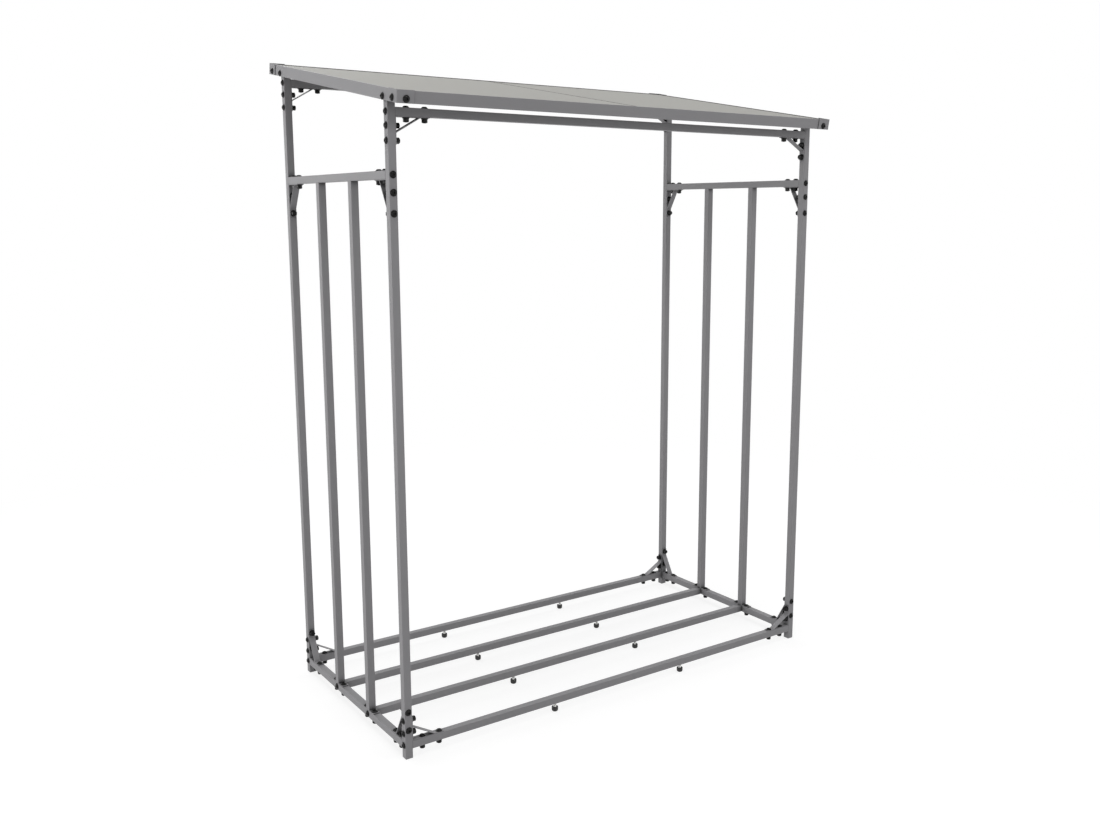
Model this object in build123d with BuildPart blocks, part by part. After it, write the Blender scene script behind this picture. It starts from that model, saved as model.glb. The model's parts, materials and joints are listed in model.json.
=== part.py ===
from build123d import *
from math import atan2, cos, radians, sin, tan
import os

# Log store: a bolted open frame of square steel tube under a sloping roof.
# Millimetres, +Z up, X along the front, Y from front to back.
# The origin is on the ground, at the middle of the footprint.

# Tube stock
tube = 20.0
tube_wall = 1.5
tube_corner = 1.0
tube_inner_corner = 0.5

# Frame, measured over the outer faces of the posts
frame_width = 1394.0
frame_depth = 668.0
rail_lift = 25.0
floor_rail_pitch = 209.0
front_rail_drop = 37.0
back_rail_drop = 28.8
side_rail_drop = 123.5

# Foot plates welded under the side uprights
foot_plate_length = 72.0
foot_plate_thickness = 2.0

# Knee braces, folded from flat strap
strap = 2.0
strap_edge_gap = 1.0
strap_bend = 3.0
long_leg = 90.0
short_leg = 65.0
long_foot = 66.0
short_foot = 38.5

# Roof frame and sheets, measured square to the slope
roof_pitch = 10.0
roof_centre_height = 1701.0
roof_overhang = 66.0
fascia_height = 28.5
fascia_depth = 6.5
fascia_wall = 1.5
sheet_recess = 1.7
sheet_thickness = 1.0
sheet_clearance = 0.5
seam_gap = 1.0
ledge_width = 12.0
post_top_clearance = 1.0

# Corner plates folded round the roof frame
corner_plate_leg = 44.0
corner_plate_height = 30.0
corner_plate_thickness = 1.8
corner_plate_bend = 2.5

# Joint bar under the seam between the two roof sheets
joint_bar_width = 40.0
joint_bar_height = 20.0

# Levelling feet under the four long rails, a little left of the middle
foot_spacing = 456.0
foot_offset = -6.0
glide_diameter = 18.0
glide_height = 13.5
glide_edge = 5.0
stud_diameter = 8.0

# Places worked out from the driving sizes
half_tube = tube / 2
post_x = frame_width / 2 - half_tube
post_y = frame_depth / 2 - half_tube
inner_x = frame_width / 2 - tube
inner_y = frame_depth / 2 - tube
rail_centre = rail_lift + half_tube
rail_top = rail_lift + tube
floor_rail_y = floor_rail_pitch / 2
strap_width = tube - 2 * strap_edge_gap
slope = radians(roof_pitch)
roof_half_length = (frame_depth / 2 + roof_overhang) / cos(slope)
roof_length = 2 * roof_half_length
roof_half_width = frame_width / 2 + fascia_depth
fascia_bottom = -corner_plate_height / 2
fascia_top = fascia_bottom + fascia_height
sheet_top = fascia_top - sheet_recess
ledge_top = sheet_top - sheet_thickness
ledge_bottom = ledge_top - fascia_wall
ledge_reach = fascia_depth + ledge_width

# The four corners share their names and signs
sides = {"left": -1, "right": 1}
rows = {"front": -1, "back": 1}
up = Vector(0, 0, 1)
down = Vector(0, 0, -1)

os.makedirs("parts", exist_ok=True)


def finish(piece, name):
    """Label one finished piece and write it to its own file."""
    piece.label = name
    export_step(piece, f"parts/{name}.step")


def square_tube(start, along, length):
    """A length of square tube that runs from `start` in the direction `along`."""
    level = Vector(0, 1, 0) if abs(along.X) > abs(along.Y) else Vector(1, 0, 0)
    inside = tube - 2 * tube_wall
    with BuildPart() as bar:
        with BuildSketch(Plane(origin=start, x_dir=level, z_dir=along)):
            RectangleRounded(tube, tube, tube_corner)
            RectangleRounded(inside, inside, tube_inner_corner, mode=Mode.SUBTRACT)
        extrude(amount=length)
    return bar.part


def knee_brace(corner, along_long, along_short):
    """A folded strap brace: a leg on each tube and a diagonal between the two."""
    lean = atan2(short_foot - strap, long_foot - strap)
    with BuildPart() as brace:
        with BuildSketch(Plane(origin=corner, x_dir=along_long, z_dir=along_long.cross(along_short))):
            with BuildLine():
                Polyline(
                    (0, 0),
                    (long_leg, 0),
                    (long_leg, strap),
                    (long_foot, strap),
                    (strap, short_foot),
                    (strap, short_leg),
                    (0, short_leg),
                    close=True,
                )
            make_face()
            bends = [(long_foot, strap), (strap, short_foot)]
            fillet([vertices().sort_by_distance(place)[0] for place in bends], radius=strap_bend)
            with BuildLine():
                Polyline(
                    (strap, strap),
                    (long_foot - strap / sin(lean), strap),
                    (strap, short_foot - strap / cos(lean)),
                    close=True,
                )
            make_face(mode=Mode.SUBTRACT)
        extrude(amount=strap_width / 2, both=True)
    return brace.part


def ledge_height(y):
    """Height above the ground of the underside of the roof's ledge."""
    return roof_centre_height + y * tan(slope) + ledge_bottom / cos(slope)


# Corner posts, cut square just under the ledge of the roof frame
post_tops = {
    "front": ledge_height(-frame_depth / 2) - post_top_clearance,
    "back": ledge_height(inner_y) - post_top_clearance,
}
for row, row_sign in rows.items():
    for side, side_sign in sides.items():
        foot = Vector(side_sign * post_x, row_sign * post_y, 0)
        finish(square_tube(foot, up, post_tops[row]), f"post_{row}_{side}")

# Long rails: four on the ground frame, and two a little below the tops of the posts
top_rail_heights = {
    "front": post_tops["front"] - front_rail_drop - tube,
    "back": post_tops["back"] - back_rail_drop - tube,
}
long_rails = {}
for row, row_sign in rows.items():
    long_rails[f"base_rail_{row}"] = (row_sign * post_y, rail_centre)
    long_rails[f"floor_rail_{row}"] = (row_sign * floor_rail_y, rail_centre)
    long_rails[f"top_rail_{row}"] = (row_sign * post_y, top_rail_heights[row] + half_tube)
for name, (y, z) in long_rails.items():
    finish(square_tube(Vector(-inner_x, y, z), Vector(1, 0, 0), 2 * inner_x), name)

# Side rails, low and high, between the front and back posts
side_rail_height = top_rail_heights["front"] - side_rail_drop - tube
side_rail_levels = {
    "base_side_rail": rail_centre,
    "upper_side_rail": side_rail_height + half_tube,
}
for level, z in side_rail_levels.items():
    for side, side_sign in sides.items():
        start = Vector(side_sign * post_x, -inner_y, z)
        finish(square_tube(start, Vector(0, 1, 0), 2 * inner_y), f"{level}_{side}")

# Side uprights, each on a welded foot plate
upright_foot = rail_top + foot_plate_thickness
for row, row_sign in rows.items():
    for side, side_sign in sides.items():
        stand = Vector(side_sign * post_x, row_sign * floor_rail_y, upright_foot)
        with BuildPart() as upright:
            add(square_tube(stand, up, side_rail_height - upright_foot))
            with BuildSketch(Plane.XY.offset(rail_top)):
                with Locations((stand.X, stand.Y)):
                    RectangleRounded(tube, foot_plate_length, tube_corner)
            extrude(amount=foot_plate_thickness)
        finish(upright.part, f"upright_{row}_{side}")

# Knee braces: two at each foot of the frame, and one under each end of the upper side rails
# and of the top rails
for row, row_sign in rows.items():
    for side, side_sign in sides.items():
        inward_x = Vector(-side_sign, 0, 0)
        inward_y = Vector(0, -row_sign, 0)
        on_long_rail = Vector(side_sign * inner_x, row_sign * post_y, rail_top)
        on_side_rail = Vector(side_sign * post_x, row_sign * inner_y, rail_top)
        with BuildPart() as pair:
            add(knee_brace(on_long_rail, inward_x, up))
            add(knee_brace(on_side_rail, up, inward_y))
        finish(pair.part, f"base_braces_{row}_{side}")

        under_side_rail = Vector(side_sign * post_x, row_sign * inner_y, side_rail_height)
        finish(knee_brace(under_side_rail, down, inward_y), f"side_brace_{row}_{side}")

        under_top_rail = Vector(side_sign * inner_x, row_sign * post_y, top_rail_heights[row])
        finish(knee_brace(under_top_rail, inward_x, down), f"top_brace_{row}_{side}")

# The roof's pieces are drawn lying flat, X across, Y up the slope and Z square to it,
# and are then tilted together
roof_plane = Plane(
    origin=(0, 0, roof_centre_height),
    x_dir=(1, 0, 0),
    z_dir=(0, -sin(slope), cos(slope)),
)


def on_roof(piece):
    """Tilt a piece that was drawn flat, and lift it to the roof."""
    return roof_plane.location * piece


def roof_edge(edge_distance, length, ledge_length):
    """Folded roof edge along the -X side: a lipped web with a ledge that carries the sheets."""
    outer = -edge_distance
    inner = outer + fascia_depth
    with BuildPart() as edge:
        with BuildSketch(Plane.XZ):
            with BuildLine():
                Polyline(
                    (outer, fascia_bottom),
                    (outer, fascia_top),
                    (inner, fascia_top),
                    (inner, ledge_bottom),
                    (inner - fascia_wall, ledge_bottom),
                    (inner - fascia_wall, fascia_top - fascia_wall),
                    (outer + fascia_wall, fascia_top - fascia_wall),
                    (outer + fascia_wall, fascia_bottom + fascia_wall),
                    (inner, fascia_bottom + fascia_wall),
                    (inner, fascia_bottom),
                    close=True,
                )
            make_face()
        extrude(amount=length / 2, both=True)
        with BuildSketch(Plane.XZ):
            with Locations((inner, ledge_bottom)):
                Rectangle(ledge_width, fascia_wall, align=(Align.MIN, Align.MIN))
        extrude(amount=ledge_length / 2, both=True)
    return edge.part


# The side edges run the whole slope, and the front and back edges stand between them
side_edge = roof_edge(roof_half_width, roof_length, roof_length - 2 * ledge_reach)
end_edge = roof_edge(roof_half_length, frame_width, frame_width)
finish(on_roof(side_edge), "fascia_left")
finish(on_roof(mirror(side_edge, about=Plane.YZ)), "fascia_right")
finish(on_roof(Rotation(0, 0, 90) * end_edge), "fascia_front")
finish(on_roof(Rotation(0, 0, -90) * end_edge), "fascia_back")

# Corner plates, folded round the outside of the roof frame
plate_x = roof_half_width + corner_plate_thickness
plate_y = roof_half_length + corner_plate_thickness
with BuildPart() as corner_plate:
    with BuildSketch(Plane.XY.offset(fascia_bottom)):
        with Locations((-plate_x, -plate_y)):
            Rectangle(corner_plate_leg, corner_plate_leg, align=(Align.MIN, Align.MIN))
        fillet(vertices().sort_by_distance((-plate_x, -plate_y))[0], radius=corner_plate_bend)
        with Locations((-roof_half_width, -roof_half_length)):
            Rectangle(corner_plate_leg, corner_plate_leg, align=(Align.MIN, Align.MIN), mode=Mode.SUBTRACT)
    extrude(amount=corner_plate_height)
front_right_plate = mirror(corner_plate.part, about=Plane.YZ)
finish(on_roof(corner_plate.part), "roof_corner_front_left")
finish(on_roof(front_right_plate), "roof_corner_front_right")
finish(on_roof(mirror(corner_plate.part, about=Plane.XZ)), "roof_corner_back_left")
finish(on_roof(mirror(front_right_plate, about=Plane.XZ)), "roof_corner_back_right")

# Roof sheets, let into the roof frame and laid side by side on its ledges
sheet_length = roof_length - 2 * (fascia_depth + sheet_clearance)
sheet_width = frame_width / 2 - sheet_clearance - seam_gap / 2
for side, side_sign in sides.items():
    with BuildPart() as sheet:
        with BuildSketch(Plane.XY.offset(ledge_top)):
            with Locations((side_sign * (seam_gap + sheet_width) / 2, 0)):
                Rectangle(sheet_width, sheet_length)
        extrude(amount=sheet_thickness)
    finish(on_roof(sheet.part), f"roof_sheet_{side}")

# Joint bar under the seam, between the front and back ledges
with BuildPart() as joint_bar:
    with BuildSketch(Plane.XZ):
        with Locations((0, ledge_top)):
            Rectangle(joint_bar_width, joint_bar_height, align=(Align.CENTER, Align.MAX))
        with Locations((0, ledge_top - fascia_wall)):
            Rectangle(
                joint_bar_width - 2 * fascia_wall,
                joint_bar_height - 2 * fascia_wall,
                align=(Align.CENTER, Align.MAX),
                mode=Mode.SUBTRACT,
            )
    extrude(amount=roof_half_length - ledge_reach, both=True)
finish(on_roof(joint_bar.part), "roof_joint_bar")

# Levelling feet: a rounded glide on a threaded stud, two under each long rail
foot_places = [
    (foot_offset + x_sign * foot_spacing / 2, row_sign * y)
    for y in (post_y, floor_rail_y)
    for row_sign in rows.values()
    for x_sign in sides.values()
]
with BuildPart() as glides:
    with BuildSketch():
        with Locations(foot_places):
            Circle(glide_diameter / 2)
    extrude(amount=glide_height)
    fillet(edges().group_by(Axis.Z)[0], radius=glide_edge)
finish(glides.part, "foot_glides")

with BuildPart() as studs:
    with BuildSketch(Plane.XY.offset(glide_height)):
        with Locations(foot_places):
            Circle(stud_diameter / 2)
    extrude(amount=rail_lift - glide_height)
finish(studs.part, "foot_studs")
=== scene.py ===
"""Log store: finishes, bolts, a strip of painted shade on the roof seam, and feet round
the frame, in a pale studio.
"""

import json
import logging
import math
import random
from collections.abc import Sequence
from dataclasses import dataclass, field
from enum import Enum
from itertools import product

import bpy
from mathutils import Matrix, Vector


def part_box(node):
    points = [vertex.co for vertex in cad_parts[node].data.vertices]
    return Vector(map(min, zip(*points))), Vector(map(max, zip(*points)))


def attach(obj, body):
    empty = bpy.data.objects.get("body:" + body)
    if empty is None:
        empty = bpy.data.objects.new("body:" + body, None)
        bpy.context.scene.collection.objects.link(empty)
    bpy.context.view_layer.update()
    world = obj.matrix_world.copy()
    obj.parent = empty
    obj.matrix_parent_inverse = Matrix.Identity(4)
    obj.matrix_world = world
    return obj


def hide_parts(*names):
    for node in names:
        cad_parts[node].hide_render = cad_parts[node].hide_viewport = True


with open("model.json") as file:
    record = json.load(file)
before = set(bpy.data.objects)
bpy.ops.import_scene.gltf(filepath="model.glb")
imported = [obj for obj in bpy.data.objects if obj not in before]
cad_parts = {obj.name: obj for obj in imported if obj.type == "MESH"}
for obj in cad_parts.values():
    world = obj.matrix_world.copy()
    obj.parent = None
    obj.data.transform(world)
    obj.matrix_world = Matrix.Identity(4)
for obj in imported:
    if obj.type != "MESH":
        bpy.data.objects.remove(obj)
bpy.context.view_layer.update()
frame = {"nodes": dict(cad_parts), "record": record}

log = logging.getLogger("log_store")

MM = 0.001
BODY = "root"


# ---- node trees


class Wire:
    """One output socket, on which arithmetic adds Math nodes to its tree."""

    def __init__(self, board: "Board", socket: bpy.types.NodeSocket) -> None:
        """Remember the socket and the board that owns it."""
        self.board = board
        self.socket = socket

    def __add__(self, other: object) -> "Wire":
        """Sum of two values."""
        return self.board.maths("ADD", self, other)

    def __radd__(self, other: object) -> "Wire":
        """Sum with a number on the left."""
        return self.board.maths("ADD", other, self)

    def __sub__(self, other: object) -> "Wire":
        """Difference of two values."""
        return self.board.maths("SUBTRACT", self, other)

    def __rsub__(self, other: object) -> "Wire":
        """Difference with a number on the left."""
        return self.board.maths("SUBTRACT", other, self)

    def __mul__(self, other: object) -> "Wire":
        """Product of two values."""
        return self.board.maths("MULTIPLY", self, other)

    def __rmul__(self, other: object) -> "Wire":
        """Product with a number on the left."""
        return self.board.maths("MULTIPLY", other, self)

    def __truediv__(self, other: object) -> "Wire":
        """Quotient of two values."""
        return self.board.maths("DIVIDE", self, other)

    def __rtruediv__(self, other: object) -> "Wire":
        """Quotient with a number on the left."""
        return self.board.maths("DIVIDE", other, self)

    def __gt__(self, other: object) -> "Wire":
        """1 where the value is above the other, else 0."""
        return self.board.maths("GREATER_THAN", self, other)


class Wires:
    """The outputs of one node, by name or number."""

    def __init__(self, board: "Board", node: bpy.types.Node) -> None:
        """Remember the node and its board."""
        self.board = board
        self.node = node

    def __getitem__(self, key: str | int) -> Wire:
        """The named or numbered output as a wire."""
        return Wire(self.board, self.node.outputs[key])


class Board:
    """A node tree under construction, for a material, the world or Geometry Nodes."""

    def __init__(self, tree: bpy.types.NodeTree) -> None:
        """Start on an emptied tree."""
        self.tree = tree
        self.tree.nodes.clear()

    def node(
        self,
        kind: str,
        settings: dict[str, object] | None = None,
        sockets: dict[str | int, object] | None = None,
    ) -> Wires:
        """Add one node.

        Args:
            kind: the node's type.
            settings: properties that are set first; "stops" fills a colour ramp, and
                "choices" gives an index switch that many items.
            sockets: values or wires for its inputs, by name or number.

        Returns:
            The node's outputs.
        """
        made = self.tree.nodes.new(kind)
        for name, value in (settings or {}).items():
            if name == "stops":
                self._fill_ramp(made.color_ramp, value)
            elif name == "choices":
                while len(made.index_switch_items) < value:
                    made.index_switch_items.new()
            else:
                setattr(made, name, value)
        for key, value in (sockets or {}).items():
            if isinstance(value, Wire):
                self.tree.links.new(value.socket, made.inputs[key])
            else:
                made.inputs[key].default_value = value
        return Wires(self, made)

    @staticmethod
    def _fill_ramp(ramp: bpy.types.ColorRamp, stops: Sequence[tuple]) -> None:
        """Fill a ramp.

        Args:
            ramp: the ramp.
            stops: the place and the grey level of each stop.
        """
        while len(ramp.elements) < len(stops):
            ramp.elements.new(1.0)
        for element, (place, level) in zip(ramp.elements, stops):
            element.position = place
            element.color = grey(level)

    def maths(self, operation: str, first: object, second: object = 0.0) -> Wire:
        """The result of one Math node."""
        settings = {"operation": operation}
        return self.node("ShaderNodeMath", settings, {0: first, 1: second})[0]

    def ramp(self, value: Wire, *stops: tuple[float, float]) -> Wire:
        """Reshape a value by straight runs between stops."""
        return self.node("ShaderNodeValToRGB", {"stops": stops}, {"Fac": value})[0]

    def blend(
        self, factor: object, first: object, second: object, mode: str = "MIX"
    ) -> Wire:
        """Mix two colours by a factor, in one of the Mix node's modes."""
        settings = {"data_type": "RGBA", "blend_type": mode}
        return self.node("ShaderNodeMix", settings, {0: factor, 6: first, 7: second})[2]

    def combine(self, x: object, y: object, z: object) -> Wire:
        """A vector of three values."""
        return self.node("ShaderNodeCombineXYZ", None, {0: x, 1: y, 2: z})[0]

    def place(self) -> Wire:
        """The shaded point in the object's own coordinates."""
        return self.node("ShaderNodeTexCoord")["Object"]

    def noise(self, scale: float, detail: float, roughness: float = 0.5) -> Wire:
        """Noise that stays with the object.

        Args:
            scale: its repeats in a metre.
            detail: how many finer layers lie over it.
            roughness: how strong those layers are.

        Returns:
            Its value, round a half.
        """
        sockets = {"Scale": scale, "Detail": detail, "Roughness": roughness}
        sockets["Vector"] = self.place()
        return self.node("ShaderNodeTexNoise", None, sockets)[0]

    def relief(self, height: Wire, depth: float) -> Wire:
        """A bumped normal, whose height runs over a depth in metres."""
        sockets = {"Distance": depth, "Height": height}
        return self.node("ShaderNodeBump", None, sockets)[0]

    def coat(self, sockets: dict[str | int, object]) -> None:
        """End a material in one shader with these values and wires."""
        shader = self.node("ShaderNodeBsdfPrincipled", None, sockets)[0]
        self.node("ShaderNodeOutputMaterial", None, {0: shader})


def grey(
    level: float, green: float = 1.0, blue: float = 1.0
) -> tuple[float, float, float, float]:
    """A linear grey with a tint.

    Args:
        level: the linear level of its red.
        green: its green, as a share of its red.
        blue: its blue, as a share of its red.

    Returns:
        The colour with full alpha.
    """
    return (level, level * green, level * blue, 1.0)


# ---- finishes


class Finish:
    """What the finishes share: each fills the board of one named material."""

    name: str

    def material(self) -> bpy.types.Material:
        """Make the material.

        Returns:
            The material, with the finish on its board.
        """
        material = bpy.data.materials.new(self.name)
        material.use_nodes = True
        self.fill(Board(material.node_tree))
        return material

    def fill(self, board: Board) -> None:
        """Lay the finish's nodes on a board."""
        raise NotImplementedError


@dataclass(frozen=True)
class CornerDust:
    """Painted shade: a coat's colour darkened where faces meet, by an ambient occlusion
    node, standing in for the shade that falls in corners.
    """

    depth: float = 0.92
    reach: float = 22.0 * MM
    foot_margin: float = 22.0 * MM
    tight: float = 0.4
    clear: float = 0.95
    samples: int = 8

    def over(self, board: Board, film: Wire) -> Wire:
        """Paint shade into a coat's corners, but not close to the ground.

        Args:
            board: the tree to add the nodes to.
            film: the coat's colour.

        Returns:
            The colour with its corners darkened.
        """
        settings = {"samples": self.samples}
        sockets = {"Distance": self.reach}
        # Painted shade: the occlusion node darkens the colour where faces meet.
        openness = board.node("ShaderNodeAmbientOcclusion", settings, sockets)["AO"]
        height = board.node("ShaderNodeSeparateXYZ", None, {0: board.place()})["Z"]
        openness = openness + (1 - (height > self.foot_margin))
        kept = board.ramp(openness, (self.tight, 1 - self.depth), (self.clear, 1.0))
        return board.blend(1.0, film, kept, "MULTIPLY")


@dataclass(frozen=True)
class PowderCoat(Finish):
    """Grey powder coat on steel: an even satin film with a fine orange peel."""

    name: str
    level: float = 0.30
    tint: tuple[float, float] = (0.985, 1.02)
    roughness: float = 0.46
    sheen: float = 0.24
    cloud_scale: float = 9.0
    cloud_change: float = 0.03
    cloud_dulling: float = 0.06
    speck_scale: float = 900.0
    speck_share: float = 0.25
    speck_level: float = 1.25
    speck_dulling: float = 0.04
    peel_size: float = 1.3 * MM
    peel_depth: float = 0.01 * MM
    dust: CornerDust = CornerDust()

    def fill(self, board: Board) -> None:
        """Lay the coat's nodes on a board.

        Args:
            board: the material's board.
        """
        specks = board.noise(self.speck_scale, detail=1.0)
        peel = board.noise(1 / self.peel_size, detail=2.0, roughness=0.45)
        clouds = board.noise(self.cloud_scale, detail=3.0, roughness=0.55)
        clouds = board.ramp(clouds, (0.3, 0.0), (0.7, 1.0))
        dark = grey(self.level * (1 - self.cloud_change), *self.tint)
        light = grey(self.level * (1 + self.cloud_change), *self.tint)
        bright = grey(self.level * self.speck_level, *self.tint)
        spotted = board.ramp(specks, (0.62, 0.0), (0.74, 1.0)) * self.speck_share
        film = board.blend(spotted, board.blend(clouds, dark, light), bright)
        duller = clouds * self.cloud_dulling + specks * self.speck_dulling
        board.coat(
            {
                # Base Color carries painted shade in the corners, from the ambient
                # occlusion node.
                "Base Color": self.dust.over(board, film),
                "Roughness": self.roughness - self.speck_dulling + duller,
                "Normal": board.relief(peel, self.peel_depth),
                "Specular IOR Level": self.sheen,
            }
        )


@dataclass(frozen=True)
class RoofCoat(Finish):
    """Matt warm grey coat of the roof sheets, with a fine even grain."""

    name: str = "roof_sheet_coat"
    level: float = 0.30
    tint: tuple[float, float] = (0.985, 0.92)
    roughness: float = 0.62
    sheen: float = 0.3
    cloud_scale: float = 4.0
    cloud_change: float = 0.02
    cloud_dulling: float = 0.05
    grain_size: float = 0.9 * MM
    grain_depth: float = 0.02 * MM
    grain_share: float = 0.12
    grain_level: float = 0.7
    dust: CornerDust = CornerDust()

    def fill(self, board: Board) -> None:
        """Lay the coat's nodes on a board.

        Args:
            board: the material's board.
        """
        grain = board.noise(1 / self.grain_size, detail=2.0, roughness=0.6)
        clouds = board.noise(self.cloud_scale, detail=4.0)
        clouds = board.ramp(clouds, (0.3, 0.0), (0.7, 1.0))
        dark = grey(self.level * (1 - self.cloud_change), *self.tint)
        light = grey(self.level * (1 + self.cloud_change), *self.tint)
        dull = grey(self.level * self.grain_level, *self.tint)
        film = board.blend(
            grain * self.grain_share, board.blend(clouds, dark, light), dull
        )
        board.coat(
            {
                # Base Color carries painted shade in the corners, from the ambient
                # occlusion node.
                "Base Color": self.dust.over(board, film),
                "Roughness": self.roughness + clouds * self.cloud_dulling,
                "Normal": board.relief(grain, self.grain_depth),
                "Specular IOR Level": self.sheen,
            }
        )


@dataclass(frozen=True)
class BlackSteel(Finish):
    """Blackened steel of the bolts and nuts, a little worn in scattered patches."""

    name: str = "black_steel"
    level: float = 0.004
    worn_level: float = 2.6
    worn_share: float = 0.5
    roughness: float = 0.2
    dulling: float = 0.12
    sheen: float = 0.17
    blotch_scale: float = 260.0
    scratch_scale: float = 1500.0
    scratch_depth: float = 0.01 * MM

    def fill(self, board: Board) -> None:
        """Lay the steel's nodes on a board.

        Args:
            board: the material's board.
        """
        blotches = board.noise(self.blotch_scale, detail=3.0)
        scratches = board.noise(self.scratch_scale, detail=2.0)
        worn = board.ramp(blotches, (0.55, 0.0), (0.75, 1.0)) * self.worn_share
        rubbed = grey(self.level * self.worn_level)
        board.coat(
            {
                "Base Color": board.blend(worn, grey(self.level), rubbed),
                "Roughness": self.roughness + blotches * self.dulling,
                "Normal": board.relief(scratches, self.scratch_depth),
                "Specular IOR Level": self.sheen,
            }
        )


@dataclass(frozen=True)
class MouldedPlastic(Finish):
    """Black moulded plastic, finely pitted and a little dusty."""

    name: str = "moulded_plastic"
    level: float = 0.018
    dusty_level: float = 2.2
    dust_scale: float = 120.0
    dust_share: float = 0.4
    roughness: float = 0.5
    dulling: float = 0.15
    pit_scale: float = 2600.0
    pit_depth: float = 0.02 * MM

    def fill(self, board: Board) -> None:
        """Lay the plastic's nodes on a board.

        Args:
            board: the material's board.
        """
        sockets = {"Vector": board.place(), "Scale": self.pit_scale}
        pits = board.node("ShaderNodeTexVoronoi", {"feature": "SMOOTH_F1"}, sockets)[0]
        dust = board.noise(self.dust_scale, detail=3.0)
        dusty = board.ramp(dust, (0.45, 0.0), (0.7, 1.0)) * self.dust_share
        pale = grey(self.level * self.dusty_level)
        board.coat(
            {
                "Base Color": board.blend(dusty, grey(self.level), pale),
                "Roughness": self.roughness + dust * self.dulling,
                "Normal": board.relief(pits, self.pit_depth),
            }
        )


@dataclass(frozen=True)
class ZincPlate(Finish):
    """Bright zinc plate of the threaded studs."""

    name: str = "zinc_plate"
    level: float = 0.78
    dull_share: float = 0.82
    warmth: float = 0.97
    roughness: float = 0.34
    dulling: float = 0.14
    bloom_scale: float = 420.0

    def fill(self, board: Board) -> None:
        """Lay the plate's nodes on a board.

        Args:
            board: the material's board.
        """
        bloom = board.noise(self.bloom_scale, detail=3.0)
        bloom = board.ramp(bloom, (0.35, 0.0), (0.65, 1.0))
        dull = grey(self.level * self.dull_share)
        bright = grey(self.level, 1.0, self.warmth)
        board.coat(
            {
                "Base Color": board.blend(bloom, dull, bright),
                "Roughness": self.roughness + bloom * self.dulling,
                "Metallic": 1.0,
            }
        )


@dataclass(frozen=True)
class PaleFloor(Finish):
    """Pale studio floor that runs out to white and keeps the object's shadow."""

    name: str = "pale_floor"
    glow: float = 0.80
    paint: float = 0.30
    bounce: float = 0.5
    near: float = 1.4
    far: float = 3.2

    def fill(self, board: Board) -> None:
        """Lay the floor's nodes on a board.

        Args:
            board: the material's board.
        """
        reach = board.node(
            "ShaderNodeVectorMath", {"operation": "LENGTH"}, {0: board.place()}
        )["Value"]
        fade = board.node(
            "ShaderNodeMapRange",
            {"interpolation_type": "SMOOTHSTEP"},
            {"Value": reach, 1: self.near, 2: self.far},
        )[0]
        matt, mix = "ShaderNodeBsdfDiffuse", "ShaderNodeMixShader"
        painted = board.node(matt, None, {"Color": grey(self.paint)})[0]
        hidden = board.node(matt, None, {"Color": grey(self.bounce)})[0]
        glow = board.node("ShaderNodeEmission", None, {"Strength": self.glow})[0]
        white = board.node("ShaderNodeEmission")[0]
        lit = board.node("ShaderNodeAddShader", None, {0: painted, 1: glow})[0]
        shown = board.node(mix, None, {0: fade, 1: lit, 2: white})[0]
        seen = seen_background(board)
        shader = board.node(mix, None, {0: seen, 1: hidden, 2: shown})[0]
        board.node("ShaderNodeOutputMaterial", None, {0: shader})


def seen_background(board: Board) -> Wire:
    """1 for rays that see the background straight, in a gloss or through glass.

    Args:
        board: the tree to add the nodes to.

    Returns:
        The value, 0 or 1.
    """
    rays = board.node("ShaderNodeLightPath")
    through = board.maths("MAXIMUM", rays["Is Glossy Ray"], rays["Is Transmission Ray"])
    return board.maths("MAXIMUM", rays["Is Camera Ray"], through)


# ---- directions


class Way(Enum):
    """Directions that a face of the frame can look in."""

    LEFT = (-1.0, 0.0, 0.0)
    RIGHT = (1.0, 0.0, 0.0)
    FRONT = (0.0, -1.0, 0.0)
    BACK = (0.0, 1.0, 0.0)
    UP = (0.0, 0.0, 1.0)

    @property
    def vector(self) -> Vector:
        """The direction as a vector."""
        return Vector(self.value)


class Flank(Enum):
    """A face of the log store, with its word in the frame's node names."""

    @property
    def label(self) -> str:
        """The word that node names use."""
        return self.value[0]

    @property
    def outward(self) -> Vector:
        """The way that its outer faces look."""
        return self.value[1].vector

    @property
    def sign(self) -> float:
        """The sign of its outward way along its axis."""
        return sum(self.value[1].value)


class Side(Flank):
    """The two sides, along X."""

    LEFT = ("left", Way.LEFT)
    RIGHT = ("right", Way.RIGHT)


class Row(Flank):
    """The front and the back, along Y."""

    FRONT = ("front", Way.FRONT)
    BACK = ("back", Way.BACK)


def at_height(spot: Vector, height: float) -> Vector:
    """The point over or under a spot at a height."""
    return Vector((spot.x, spot.y, height))


@dataclass(frozen=True)
class Slope:
    """The roof's plane."""

    pitch: float = math.radians(10.0)

    @property
    def along(self) -> Vector:
        """The way up the slope, from the front to the back."""
        return Vector((0.0, math.cos(self.pitch), math.sin(self.pitch)))

    @property
    def square(self) -> Vector:
        """The way out of the slope."""
        return Vector((0.0, -math.sin(self.pitch), math.cos(self.pitch)))

    def point(self, across: float, run: float, rise: float) -> Vector:
        """The point at these distances across, along and square to the slope."""
        return Vector((across, 0, 0)) + self.along * run + self.square * rise

    def box(self, node: str) -> list[tuple[float, float]]:
        """A node's extent in the slope's own directions.

        Args:
            node: the node's name.

        Returns:
            The lowest and highest value across, along and square to the slope.
        """
        points = [vertex.co for vertex in frame["nodes"][node].data.vertices]
        spans = []
        for axis in (Vector((1, 0, 0)), self.along, self.square):
            values = [point.dot(axis) for point in points]
            spans.append((min(values), max(values)))
        return spans


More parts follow.
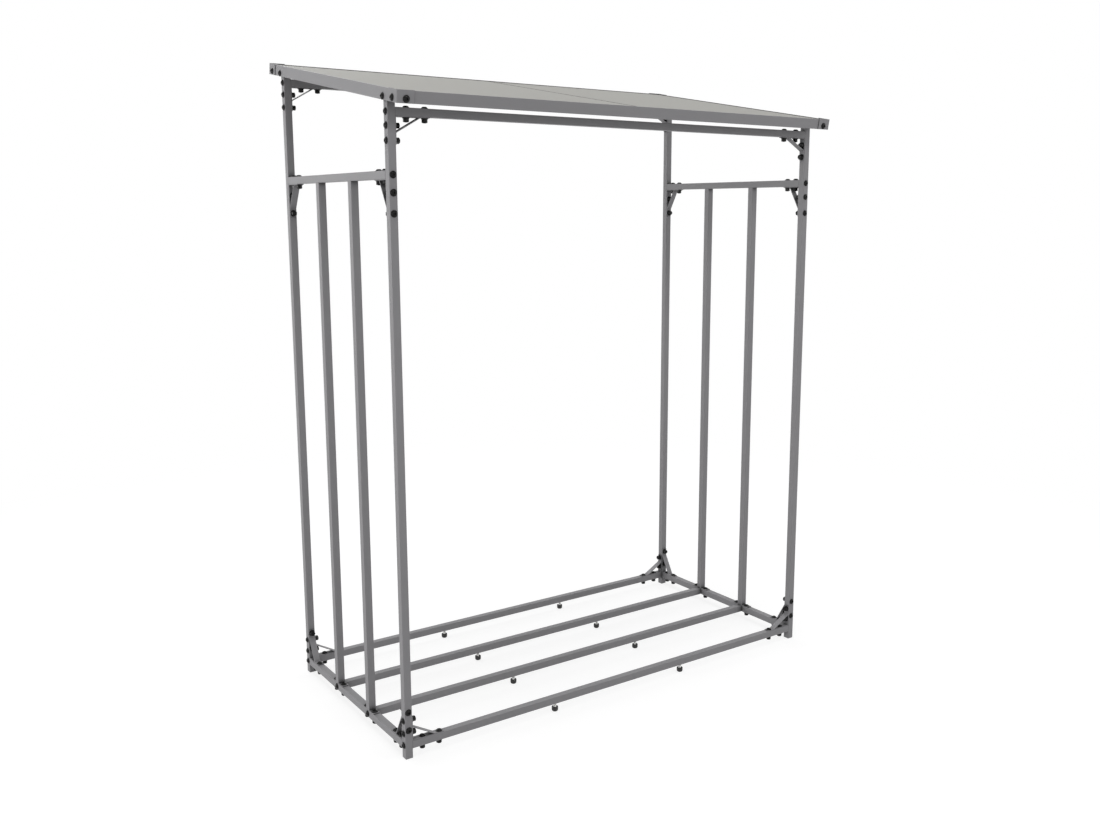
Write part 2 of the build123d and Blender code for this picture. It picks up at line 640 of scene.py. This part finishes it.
@dataclass
class Places:
    """Points that a repeated shape stands on, each with the way that its axis looks."""

    points: list[Vector] = field(default_factory=list)
    facing: list[Vector] = field(default_factory=list)
    spin: list[float] = field(default_factory=list)

    def add(self, point: Vector, facing: Vector, spin: float = 0.0) -> None:
        """Add one place.

        Args:
            point: where the shape's foot sits.
            facing: the way its axis looks.
            spin: its turn about that axis, in radians.
        """
        self.points.append(point)
        self.facing.append(facing)
        self.spin.append(spin)

    def carrier(self, name: str) -> bpy.types.Object:
        """A mesh of bare points that holds the places for a node tree.

        Args:
            name: the object's name.

        Returns:
            The object, linked to the scene.
        """
        mesh = bpy.data.meshes.new(name)
        mesh.from_pydata([tuple(point) for point in self.points], [], [])
        facing = mesh.attributes.new("facing", "FLOAT_VECTOR", "POINT")
        for number, way in enumerate(self.facing):
            facing.data[number].vector = way
        spin = mesh.attributes.new("spin", "FLOAT", "POINT")
        for number, turn in enumerate(self.spin):
            spin.data[number].value = turn
        return linked(name, mesh)


def linked(name: str, data: bpy.types.ID) -> bpy.types.Object:
    """Put a new object in the scene.

    Args:
        name: its name.
        data: its mesh, lamp or camera data.

    Returns:
        The object.
    """
    made = bpy.data.objects.new(name, data)
    bpy.context.scene.collection.objects.link(made)
    return made


# ---- repeated shapes


class RepeatedShape:
    """A small shape repeated on points, made by one Geometry Nodes tree."""

    def __init__(self, name: str, sizes: dict[str, float]) -> None:
        """Build the tree.

        Args:
            name: the tree's name.
            sizes: its named sizes.
        """
        self.sizes = sizes
        self.tree = bpy.data.node_groups.new(name, "GeometryNodeTree")
        self.board = Board(self.tree)
        kinds = {"Places": "Geometry", **dict.fromkeys(sizes, "Float")}
        for label, kind in {**kinds, "Finish": "Material"}.items():
            self._socket(label, "INPUT", kind)
        self._socket("Pieces", "OUTPUT", "Geometry")
        self.inputs = self.board.node("NodeGroupInput")
        self._repeat(self._shape())

    def _socket(self, label: str, side: str, kind: str) -> None:
        """Declare one input or output of the tree."""
        kind = f"NodeSocket{kind}"
        self.tree.interface.new_socket(label, in_out=side, socket_type=kind)

    def _shape(self) -> Wire:
        """Make the shape, upright on the origin."""
        raise NotImplementedError

    def _cylinder(
        self, facets: int, steps: int, depth: float
    ) -> tuple[Wire, Wire, Wire]:
        """A plain upright cylinder, which a shape is turned from.

        Args:
            facets: faces round it.
            steps: faces up it.
            depth: its height.

        Returns:
            Its mesh, and the angle and the height of each of its points.
        """
        board = self.board
        mesh = board.node(
            "GeometryNodeMeshCylinder",
            {"fill_type": "NGON"},
            {"Vertices": facets, "Side Segments": steps, "Radius": 1.0, "Depth": depth},
        )["Mesh"]
        position = board.node("GeometryNodeInputPosition")[0]
        place = board.node("ShaderNodeSeparateXYZ", None, {0: position})
        angle = board.maths("ARCTAN2", place["Y"], place["X"])
        return mesh, angle, place["Z"] + depth / 2

    def _turned(self, mesh: Wire, angle: Wire, radius: Wire, height: Wire) -> Wire:
        """Move a cylinder's points to their radius and height.

        Args:
            mesh: the cylinder.
            angle: the angle of each point.
            radius: the radius that each point takes.
            height: the height that each point takes.

        Returns:
            The shape.
        """
        x = radius * self.board.maths("COSINE", angle)
        y = radius * self.board.maths("SINE", angle)
        sockets = {"Geometry": mesh, "Position": self.board.combine(x, y, height)}
        return self.board.node("GeometryNodeSetPosition", None, sockets)[0]

    def _repeat(self, shape: Wire) -> None:
        """Stand the shape on every point, along its own axis, and finish it.

        Args:
            shape: the upright shape.
        """
        board = self.board
        facing = self._attribute("facing", "FLOAT_VECTOR")
        spin = self._attribute("spin", "FLOAT")
        lean = board.node(
            "FunctionNodeAlignRotationToVector", {"axis": "Z"}, {"Vector": facing}
        )[0]
        turn = board.node(
            "FunctionNodeAxisAngleToRotation", None, {"Axis": (0, 0, 1), "Angle": spin}
        )[0]
        stance = board.node(
            "FunctionNodeRotateRotation",
            {"rotation_space": "LOCAL"},
            {"Rotation": lean, "Rotate By": turn},
        )[0]
        stood = board.node(
            "GeometryNodeInstanceOnPoints",
            None,
            {"Points": self.inputs["Places"], "Instance": shape, "Rotation": stance},
        )[0]
        solid = board.node("GeometryNodeRealizeInstances", None, {"Geometry": stood})[0]
        sockets = {"Geometry": solid, "Material": self.inputs["Finish"]}
        dressed = board.node("GeometryNodeSetMaterial", None, sockets)[0]
        board.node("NodeGroupOutput", None, {0: dressed})

    def _attribute(self, name: str, kind: str) -> Wire:
        """Read one of the places' attributes."""
        node = "GeometryNodeInputNamedAttribute"
        return self.board.node(node, {"data_type": kind}, {"Name": name})[0]

    def make(
        self, name: str, places: Places, finish: bpy.types.Material
    ) -> bpy.types.Object:
        """Make the piece on its places.

        Args:
            name: the piece's name.
            places: where its copies stand.
            finish: its material.

        Returns:
            The piece as a plain mesh.
        """
        piece = places.carrier(name)
        modifier = piece.modifiers.new("build", "NODES")
        modifier.node_group = self.tree
        values: dict[str, object] = {**self.sizes, "Finish": finish}
        for socket in self.tree.interface.items_tree:
            if socket.in_out == "INPUT" and socket.name in values:
                modifier[socket.identifier] = values[socket.name]
        return settled(piece)


@dataclass(frozen=True)
class Ring:
    """One ring of a turned shape, in shares of its tree's named sizes.

    A hexagonal ring's width is the one across its flats, not its corners.
    """

    width: str
    share: float
    height: dict[str, float]
    hexagonal: bool = False


def profile(width: str, height: str, shares: Sequence[Sequence[float]]) -> list[Ring]:
    """Round rings in shares of one width and one height."""
    return [Ring(width, share, {height: rise}) for share, rise in shares]


class TurnedShape(RepeatedShape):
    """A shape of rings from its foot to its tip."""

    hard_edge: float = math.radians(32)

    def __init__(
        self, name: str, rings: Sequence[Ring], sizes: dict[str, float], facets: int
    ) -> None:
        """Build the tree.

        Args:
            name: the tree's name.
            rings: its rings, from the foot to the tip.
            sizes: its named sizes.
            facets: faces round each ring, a multiple of six.
        """
        self.rings = rings
        self.facets = facets
        super().__init__(name, sizes)

    def _shape(self) -> Wire:
        """Turn a plain cylinder into the shape.

        Returns:
            The shape, with its hard edges kept.
        """
        board = self.board
        steps = len(self.rings) - 1
        mesh, angle, level = self._cylinder(self.facets, steps, float(steps))
        number = board.node(
            "FunctionNodeFloatToInt",
            {"rounding_mode": "ROUND"},
            {0: board.maths("ROUND", level)},
        )[0]
        sixth = math.pi / 3
        off_flat = board.maths("FLOORED_MODULO", angle, sixth) - sixth / 2
        stretch = 1 / board.maths("COSINE", off_flat)
        radii = [self.inputs[ring.width] * ring.share for ring in self.rings]
        heights = [self._amount(ring.height) for ring in self.rings]
        hexed = self._chosen(number, [float(ring.hexagonal) for ring in self.rings])
        radius = self._chosen(number, radii) * (1 + hexed * (stretch - 1))
        height = self._chosen(number, heights)
        return self._shaded(self._turned(mesh, angle, radius, height))

    def _amount(self, shares: dict[str, float]) -> Wire | float:
        """The sum of these shares of the named sizes."""
        return sum((self.inputs[size] * share for size, share in shares.items()), 0.0)

    def _chosen(self, number: Wire, values: Sequence[object]) -> Wire:
        """Pick one of several values by the ring's number.

        Args:
            number: the ring's number.
            values: the value of each ring.

        Returns:
            The value.
        """
        sockets = dict(enumerate((number, *values)))
        settings = {"data_type": "FLOAT", "choices": len(values)}
        return self.board.node("GeometryNodeIndexSwitch", settings, sockets)[0]

    def _shaded(self, shape: Wire) -> Wire:
        """Shade curved faces smooth and keep the hard edges.

        Args:
            shape: the shape.

        Returns:
            The shaded shape.
        """
        kind = "GeometryNodeSetShadeSmooth"
        bend = self.board.node("GeometryNodeInputMeshEdgeAngle")[0]
        shape = self.board.node(
            kind, {"domain": "FACE"}, {"Geometry": shape, "Shade Smooth": True}
        )[0]
        hard = {"Selection": bend > self.hard_edge, "Shade Smooth": False}
        return self.board.node(kind, {"domain": "EDGE"}, {"Geometry": shape, **hard})[0]


class ThreadedStud(RepeatedShape):
    """A stud with its ridge wound round a plain core.

    Its tree's sizes are Thread Width, Pitch, Depth, Foot and Length.
    """

    facets: int = 18
    steps: int = 78

    def _shape(self) -> Wire:
        """Turn a plain cylinder into the stud.

        Returns:
            The stud.
        """
        inputs = self.inputs
        mesh, angle, share = self._cylinder(self.facets, self.steps, 1.0)
        height = share * inputs["Length"]
        turn = height / inputs["Pitch"] - angle / math.tau
        ridge = self.board.maths("PINGPONG", turn, 0.5) * 2
        radius = inputs["Thread Width"] * 0.5 - inputs["Depth"] * ridge
        return self._turned(mesh, angle, radius, height + inputs["Foot"])


def settled(piece: bpy.types.Object) -> bpy.types.Object:
    """Turn a piece with a live node tree into a plain mesh with one finish.

    Args:
        piece: the object that carries the modifier.

    Returns:
        The same object, with the result as its mesh and no modifier.
    """
    bpy.context.view_layer.update()
    graph = bpy.context.evaluated_depsgraph_get()
    mesh = bpy.data.meshes.new_from_object(
        piece.evaluated_get(graph), preserve_all_data_layers=True, depsgraph=graph
    )
    piece.modifiers.clear()
    finish = next(material for material in mesh.materials if material)
    mesh.materials.clear()
    mesh.materials.append(finish)
    mesh.polygons.foreach_set("material_index", [0] * len(mesh.polygons))
    piece.data = mesh
    mesh.name = piece.name
    return piece


# ---- hardware


@dataclass
class Hardware:
    """The bolts: domed heads outside and above, flanged nuts inside and below."""

    strap: float = 2.0 * MM
    short_leg_bolts: tuple[float, float] = (21.6 * MM, 56.0 * MM)
    long_leg_bolts: tuple[float, float] = (31.5 * MM, 80.0 * MM)
    foot_plate_bolt: float = 24.0 * MM
    head_width: float = 17.2 * MM
    head_height: float = 4.5 * MM
    socket_width: float = 5.0 * MM
    socket_depth: float = 2.4 * MM
    flange_width: float = 18.0 * MM
    flange_height: float = 2.6 * MM
    nut_width: float = 13.0 * MM
    nut_height: float = 10.6 * MM
    nut_well: float = 0.5 * MM
    bolt_width: float = 7.8 * MM
    bolt_end: float = 0.8 * MM
    facets: int = 24
    heads: Places = field(default_factory=Places)
    nuts: Places = field(default_factory=Places)
    luck: random.Random = field(default_factory=lambda: random.Random(8))

    def head_at(self, point: Vector, facing: Vector) -> None:
        """Stand a head on a face."""
        self.heads.add(point, facing, self.luck.uniform(0, math.tau))

    def through(self, head: Vector, nut: Vector) -> None:
        """Run a bolt through, from its head to its nut.

        Args:
            head: the point on the face under the head.
            nut: the point on the face under the nut.
        """
        axis = (head - nut).normalized()
        self.head_at(head, axis)
        self.nuts.add(nut, -axis, self.luck.uniform(0, math.tau))

    def collect(self) -> None:
        """Work out every bolt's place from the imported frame."""
        for row, side in product(Row, Side):
            self._corner(row, side)
        for row, side in product(Row, Side):
            self._upright(row, side)

    def _corner(self, row: Row, side: Side) -> None:
        """Bolts of one corner: its knee braces and the ends of its rails.

        Args:
            row: the front or the back.
            side: the left or the right.
        """
        long, short = self.long_leg_bolts, self.short_leg_bolts
        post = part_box(f"post_{row.label}_{side.label}")
        for rail, upward in (("base", 1.0), ("top", -1.0)):
            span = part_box(f"{rail}_rail_{row.label}")
            self._knee(post, side.outward, span, upward, (long, short))
            self._rail_end(post, side.outward, span)
        for rail, upward in (("base", 1.0), ("upper", -1.0)):
            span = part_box(f"{rail}_side_rail_{side.label}")
            self._knee(post, row.outward, span, upward, (short, long))
            if upward < 0:
                self._rail_end(post, row.outward, span)

    def _knee(
        self,
        post: tuple[Vector, Vector],
        out: Vector,
        rail: tuple[Vector, Vector],
        upward: float,
        legs: tuple[Sequence[float], Sequence[float]],
    ) -> None:
        """Bolts of one knee brace, along its rail and then along its post.

        Args:
            post: the lowest and highest corner of the post's box.
            out: the way from the rail to the post.
            rail: the lowest and highest corner of the rail's box.
            upward: 1 where it stands on the rail, -1 where it hangs under it.
            legs: how far its bolts stand from the corner, on the rail and on the post.
        """
        centre, half = (post[0] + post[1]) / 2, (post[1].x - post[0].x) / 2
        low, high = rail[0].z, rail[1].z
        near = high if upward > 0 else low
        strap_face = near + upward * self.strap
        top, under = (strap_face, low) if upward > 0 else (high, strap_face)
        for reach in legs[0]:
            spot = centre - out * (half + reach)
            self.through(at_height(spot, top), at_height(spot, under))
        outer, inner = centre + out * half, centre - out * (half + self.strap)
        for reach in legs[1]:
            height = near + upward * reach
            self.through(at_height(outer, height), at_height(inner, height))

    def _rail_end(
        self, post: tuple[Vector, Vector], out: Vector, rail: tuple[Vector, Vector]
    ) -> None:
        """The head on the post's outer face that holds the end of a rail."""
        outer = (post[0] + post[1]) / 2 + out * (post[1].x - post[0].x) / 2
        self.head_at(at_height(outer, (rail[0].z + rail[1].z) / 2), out)

    def _upright(self, row: Row, side: Side) -> None:
        """Bolts of one side upright: the end of its floor rail and its foot plate.

        Args:
            row: the front or the back.
            side: the left or the right.
        """
        low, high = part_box(f"base_side_rail_{side.label}")
        plate_low, plate_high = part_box(f"upright_{row.label}_{side.label}")
        middle = (plate_low + plate_high) / 2
        outer = high.x if side.sign > 0 else low.x
        height = (low.z + high.z) / 2
        self.head_at(Vector((outer, middle.y, height)), side.outward)
        for away in (-self.foot_plate_bolt, self.foot_plate_bolt):
            spot = Vector((middle.x, middle.y + away, 0.0))
            self.through(at_height(spot, high.z + self.strap), at_height(spot, low.z))

    def head_shape(self) -> TurnedShape:
        """Domed head on a thin collar, with a hexagonal socket.

        Returns:
            The shape's tree.
        """
        collar = ((0.5, 0.0), (0.5, 0.2), (0.48, 0.26), (0.43, 0.31))
        dome = ((0.4, 0.54), (0.335, 0.82), (0.23, 1.0))
        well = {"Head Height": 1.0, "Socket Depth": -1.0}
        rings = [
            *profile("Head Width", "Head Height", collar + dome),
            Ring("Socket Width", 0.5, {"Head Height": 1.0}, hexagonal=True),
            Ring("Socket Width", 0.49, well, hexagonal=True),
        ]
        sizes = {
            "Head Width": self.head_width,
            "Head Height": self.head_height,
            "Socket Width": self.socket_width,
            "Socket Depth": self.socket_depth,
        }
        return TurnedShape("domed_head", rings, sizes, self.facets)

    def nut_shape(self) -> TurnedShape:
        """Flanged nut, with the bolt's end standing a little out of it.

        Returns:
            The shape's tree.
        """
        flange = ((0.5, 0.0), (0.5, 0.45), (0.475, 0.6))
        rings = [
            *profile("Flange Width", "Flange Height", flange),
            Ring("Nut Width", 0.575, {"Flange Height": 1.0}),
            Ring("Nut Width", 0.5, {"Flange Height": 1.04}, hexagonal=True),
            Ring("Nut Width", 0.5, {"Nut Height": 0.93}, hexagonal=True),
            Ring("Nut Width", 0.475, {"Nut Height": 1.0}),
            Ring("Bolt Width", 0.56, {"Nut Height": 1.0}),
            Ring("Bolt Width", 0.5, {"Nut Height": 1.0, "Nut Well": -1.0}),
            Ring("Bolt Width", 0.5, {"Nut Height": 1.0, "Bolt End": 0.4}),
            Ring("Bolt Width", 0.42, {"Nut Height": 1.0, "Bolt End": 1.0}),
        ]
        sizes = {
            "Flange Width": self.flange_width,
            "Flange Height": self.flange_height,
            "Nut Width": self.nut_width,
            "Nut Height": self.nut_height,
            "Nut Well": self.nut_well,
            "Bolt Width": self.bolt_width,
            "Bolt End": self.bolt_end,
        }
        return TurnedShape("flanged_nut", rings, sizes, self.facets)

    def build(self, finish: bpy.types.Material) -> None:
        """Make the heads and the nuts.

        Args:
            finish: their material.
        """
        report(self.head_shape().make("bolt_heads", self.heads, finish))
        report(self.nut_shape().make("bolt_nuts", self.nuts, finish))


@dataclass
class RoofBolts:
    """Heads on the roof's side edges and on its corner plates, square to the slope."""

    slope: Slope = Slope()
    edge_rise: float = 8.0 * MM
    plate_rise: float = 10.0 * MM
    plate_inset: float = 24.0 * MM

    def add_to(self, hardware: Hardware) -> None:
        """Add the roof's heads to the rest.

        Args:
            hardware: the bolts that they join.
        """
        slope = self.slope
        for row, side in product(Row, Side):
            plate = slope.box(f"roof_corner_{row.label}_{side.label}")
            outer = side.sign * max(map(abs, plate[0]))
            end = row.sign * max(map(abs, plate[1]))
            rise = plate[2][0] + self.plate_rise
            inner_end = end - row.sign * self.plate_inset
            hardware.head_at(slope.point(outer, inner_end, rise), side.outward)
            inner = outer - side.sign * self.plate_inset
            hardware.head_at(slope.point(inner, end, rise), slope.along * row.sign)
            edge = slope.box(f"fascia_{side.label}")
            face = side.sign * max(map(abs, edge[0]))
            rise = edge[2][0] + self.edge_rise
            post_low, post_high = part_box(f"post_{row.label}_{side.label}")
            post_y = (post_low.y + post_high.y) / 2
            run = (post_y - slope.square.y * rise) / slope.along.y
            hardware.head_at(slope.point(face, run, rise), side.outward)


@dataclass
class RoofSeal:
    """Painted shade: a thin near-black strip along the seam between the two roof
    sheets, drawing the seam's shade as a dark line.
    """

    slope: Slope = Slope()
    width: float = 3.0 * MM
    rise: float = 0.4 * MM

    def build(self, finish: bpy.types.Material) -> None:
        """Lay the strip on the seam.

        Args:
            finish: its material.
        """
        _, ends, (_, top) = self.slope.box("roof_sheet_left")
        points = [
            tuple(self.slope.point(across, run, height))
            for height in (top, top + self.rise)
            for run in ends
            for across in (-self.width / 2, self.width / 2)
        ]
        faces = [(0, 2, 3, 1), (4, 5, 7, 6), (0, 1, 5, 4)]
        faces += [(2, 6, 7, 3), (0, 4, 6, 2), (1, 3, 7, 5)]
        mesh = bpy.data.meshes.new("painted_seam_shade")
        mesh.from_pydata(points, [], faces)
        mesh.materials.append(finish)
        report(linked("painted_seam_shade", mesh))


# ---- levelling feet


@dataclass
class LevellingFeet:
    """Black glides on threaded studs, under the long rails."""

    width: float = 18.0 * MM
    facets: int = 30
    stud_reach: float = 30.0 * MM
    thread_width: float = 8.0 * MM
    thread_pitch: float = 1.25 * MM
    thread_depth: float = 0.6 * MM
    thread_margin: float = 1.0 * MM

    def places(self) -> Places:
        """Middles of the eight feet, on the ground.

        Returns:
            Their places.
        """
        places = Places()
        left = [vertex.co for vertex in frame["nodes"]["foot_studs"].data.vertices]
        while left:
            own, others = [], []
            for point in left:
                near = (point.xy - left[0].xy).length < self.stud_reach
                (own if near else others).append(point)
            x = (min(p.x for p in own) + max(p.x for p in own)) / 2
            y = (min(p.y for p in own) + max(p.y for p in own)) / 2
            places.add(Vector((x, y, 0.0)), Way.UP.vector)
            left = others
        return places

    def glide_shape(self) -> TurnedShape:
        """Rounded glide with a shallow well round its stud.

        Returns:
            The shape's tree.
        """
        low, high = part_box("foot_glides")
        foot = ((0.24, 0.0), (0.35, 0.03), (0.43, 0.115), (0.48, 0.24), (0.5, 0.4))
        edge = ((0.5, 0.9), (0.485, 0.97), (0.455, 1.0))
        well = ((0.32, 1.0), (0.3, 0.93), (0.22, 0.93))
        rings = profile("Width", "Height", foot + edge + well)
        sizes = {"Width": self.width, "Height": high.z - low.z}
        return TurnedShape("levelling_glide", rings, sizes, self.facets)

    def stud_shape(self) -> ThreadedStud:
        """Threaded stud, which stands a little into its glide.

        Returns:
            The shape's tree.
        """
        low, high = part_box("foot_studs")
        sizes = {
            "Thread Width": self.thread_width,
            "Pitch": self.thread_pitch,
            "Depth": self.thread_depth,
            "Foot": low.z - self.thread_margin,
            "Length": high.z - low.z + self.thread_margin,
        }
        return ThreadedStud("stud_thread", sizes)

    def build(self, plastic: bpy.types.Material, zinc: bpy.types.Material) -> None:
        """Make the glides and the studs in place of the plain solids.

        Args:
            plastic: the glides' material.
            zinc: the studs' material.
        """
        places = self.places()
        glides = self.glide_shape().make("levelling_glides", places, plastic)
        report(glides, replaced=("foot_glides",))
        studs = self.stud_shape().make("levelling_threads", places, zinc)
        report(studs, replaced=("foot_studs",))


# ---- studio


@dataclass(frozen=True)
class Lamp:
    """One soft square lamp that looks at the middle of the object."""

    name: str
    place: tuple[float, float, float]
    size: float
    watts: float
    target: tuple[float, float, float] = (0.0, 0.0, 0.9)

    def hang(self) -> None:
        """Add the lamp to the scene."""
        data = bpy.data.lights.new(self.name, "AREA")
        data.shape = "SQUARE"
        data.size = self.size
        data.energy = self.watts
        lamp = linked(self.name, data)
        lamp.visible_camera = False
        stand(lamp, Vector(self.place), Vector(self.target) - Vector(self.place))


def stand(thing: bpy.types.Object, place: Vector, gaze: Vector) -> None:
    """Put a lamp or the camera in its place.

    Args:
        thing: the lamp or the camera.
        place: where it stands.
        gaze: the way that it looks.
    """
    thing.location = place
    thing.rotation_mode = "QUATERNION"
    thing.rotation_quaternion = gaze.to_track_quat("-Z", "Y")


@dataclass
class Studio:
    """Camera, soft lamps, pale world and floor."""

    lens: float = 35.447
    sensor: float = 36.0
    shift: tuple[float, float] = (-0.02734, -0.01461)
    clip: tuple[float, float] = (0.05, 100.0)
    eye: tuple[float, float, float] = (-1.81389, -2.68054, 1.37622)
    gaze: tuple[float, float, float] = (0.56905, 0.80492, -0.16819)
    sky: float = 0.318
    floor_size: float = 40.0
    lamps: tuple[Lamp, ...] = (
        Lamp("left_window", (-6.0, -0.8, 0.5), 3.0, 114.0),
        Lamp("left_back_window", (-4.8, 4.0, 1.2), 1.6, 54.0),
        Lamp("back_left_glint", (-2.4, 6.0, 1.6), 1.4, 14.0),
        Lamp("front_window", (-0.5, -7.0, 0.7), 3.5, 20.5),
        Lamp("front_skylight", (-0.5, -5.0, 5.0), 1.5, 55.0),
        Lamp("front_right_window", (4.8, -4.8, 2.5), 3.0, 58.0),
        Lamp("back_skylight", (0.0, 5.0, 4.5), 3.0, 56.0),
        Lamp("overhead", (0.0, 0.0, 7.0), 4.0, 179.0),
    )

    def camera(self) -> None:
        """Stand the camera where the photograph was taken from."""
        data = bpy.data.cameras.new("photo_view")
        data.sensor_fit = "HORIZONTAL"
        data.sensor_width = self.sensor
        data.lens = self.lens
        data.shift_x, data.shift_y = self.shift
        data.clip_start, data.clip_end = self.clip
        camera = linked("photo_view", data)
        stand(camera, Vector(self.eye), Vector(self.gaze))
        bpy.context.scene.camera = camera

    def world(self) -> None:
        """White behind the object, and an even dimmer light on it."""
        world = bpy.data.worlds.new("pale_room")
        world.use_nodes = True
        board = Board(world.node_tree)
        strength = self.sky + seen_background(board) * (1 - self.sky)
        sockets = {"Color": grey(1.0), "Strength": strength}
        light = board.node("ShaderNodeBackground", None, sockets)[0]
        board.node("ShaderNodeOutputWorld", None, {0: light})
        bpy.context.scene.world = world

    def floor(self) -> None:
        """Lay the floor under the object."""
        half = self.floor_size / 2
        signs = ((-1, -1), (1, -1), (1, 1), (-1, 1))
        points = [(x * half, y * half, 0) for x, y in signs]
        mesh = bpy.data.meshes.new("studio_floor")
        mesh.from_pydata(points, [], [(0, 1, 2, 3)])
        mesh.materials.append(PaleFloor().material())
        floor = linked("studio_floor", mesh)

    def build(self) -> None:
        """Set up the whole studio."""
        self.camera()
        self.world()
        self.floor()
        for lamp in self.lamps:
            lamp.hang()
        bpy.context.scene.view_settings.view_transform = "Standard"


# ---- finishing


@dataclass
class Dressing:
    """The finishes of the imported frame's own nodes, by their material slots."""

    finishes: dict[str, bpy.types.Material]

    def apply(self) -> None:
        """Give every node its slot's finish."""
        for part in frame["record"]["subparts"]:
            node = frame["nodes"][part["node"]]
            node.data.materials.clear()
            node.data.materials.append(self.finishes[part["material_slot"]])
            log.info("finish %s on %s", part["material_slot"], part["node"])


def report(
    piece: bpy.types.Object, replaced: Sequence[str] = ()
) -> None:
    """Put a finished piece on its body and log it.

    Args:
        piece: the piece.
        replaced: the nodes that it stands for.
    """
    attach(piece, BODY)
    if replaced:
        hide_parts(*replaced)
    log.info("piece %s: %d faces", piece.name, len(piece.data.polygons))


def main() -> None:
    """Dress the frame, make its small pieces and set up the studio."""
    logging.basicConfig(level=logging.INFO, format="%(name)s: %(message)s")
    # The straps get a lighter painted shade in their corners.
    light_painted_shade = CornerDust(depth=0.7)
    strap_coat = PowderCoat("strap_coat", roughness=0.5, dust=light_painted_shade)
    # Near-black plastic for the strip of painted shade on the roof seam.
    seam_shade_plastic = MouldedPlastic("seam_shade_plastic", level=0.012, roughness=0.7)
    finishes = {
        "frame_steel": PowderCoat("tube_coat").material(),
        "brace_steel": strap_coat.material(),
        "roof_trim": PowderCoat("trim_coat", level=0.295, roughness=0.44).material(),
        "roof_sheet": RoofCoat().material(),
        "glide_plastic": MouldedPlastic().material(),
        "zinc_steel": ZincPlate().material(),
    }
    Dressing(finishes).apply()
    hardware = Hardware()
    hardware.collect()
    RoofBolts().add_to(hardware)
    hardware.build(BlackSteel().material())
    RoofSeal().build(seam_shade_plastic.material())
    LevellingFeet().build(finishes["glide_plastic"], finishes["zinc_steel"])
    Studio().build()


if __name__ == "__main__":
    main()
